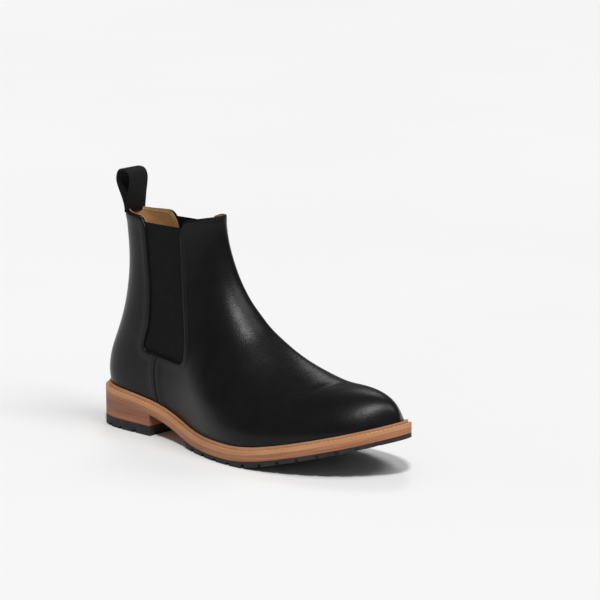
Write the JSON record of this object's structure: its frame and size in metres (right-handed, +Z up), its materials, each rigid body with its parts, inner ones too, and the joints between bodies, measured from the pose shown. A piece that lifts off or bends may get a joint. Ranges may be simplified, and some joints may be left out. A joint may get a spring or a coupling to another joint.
{
  "type": "chelsea boot",
  "caption": "Ankle boot for the right foot with elastic side gores, a welted leather sole with a rubber tread and heel, and a webbing pull tab at the back.",
  "frame": {"origin": "centre of the bounding box on the ground", "axes": "+X towards the toe, +Y towards the inner side of the foot, +Z up"},
  "size_m": [0.3049, 0.105, 0.2085],
  "materials": {
    "rubber": "matte charcoal rubber",
    "heel_leather": "burnished stacked leather, reddish brown",
    "sole_leather": "waxed brown edge",
    "welt_leather": "light brown leather",
    "thread": "cream waxed thread",
    "brass_nails": "plain",
    "steel": "spring steel strip",
    "cork": "ground cork",
    "canvas": "woven cotton",
    "insole_leather": "undyed",
    "foam": "soft foam",
    "lining_leather": "tan, matte",
    "upper_leather": "black smooth calf, soft sheen",
    "elastic": "black ribbed elastic",
    "stiffener": "thermoplastic board",
    "webbing": "black grosgrain"
  },
  "bodies": {
    "boot": {"heel_top_lift": "rubber", "forefoot_tread": "rubber", "heel_lift_lower": "heel_leather", "heel_lift_upper": "heel_leather", "heel_nails": "brass_nails", "midsole": "sole_leather", "welt": "welt_leather", "welt_stitching": "thread", "shank": "steel", "cork_filler": "cork", "insole_rib": "canvas", "insole_board": "insole_leather", "footbed_foam": "foam", "footbed_leather": "lining_leather", "front_panel": "upper_leather", "back_panel": "upper_leather", "lateral_gore": "elastic", "medial_gore": "elastic", "toe_puff": "stiffener", "heel_counter": "stiffener", "front_interlining": "canvas", "back_interlining": "canvas", "front_lining": "lining_leather", "back_lining": "lining_leather", "pull_tab_anchor": "webbing"},
    "pull_tab": {"pull_tab": "webbing"}
  },
  "joints": [
    {"name": "pull_tab_swing", "type": "hinge", "parent": "boot", "child": "pull_tab", "pos_m": [-0.132, 0, 0.178], "axis": [0, 1, 0], "range_deg": [-70, 70], "stiffness_Nm_per_rad": 0.02}
  ]
}
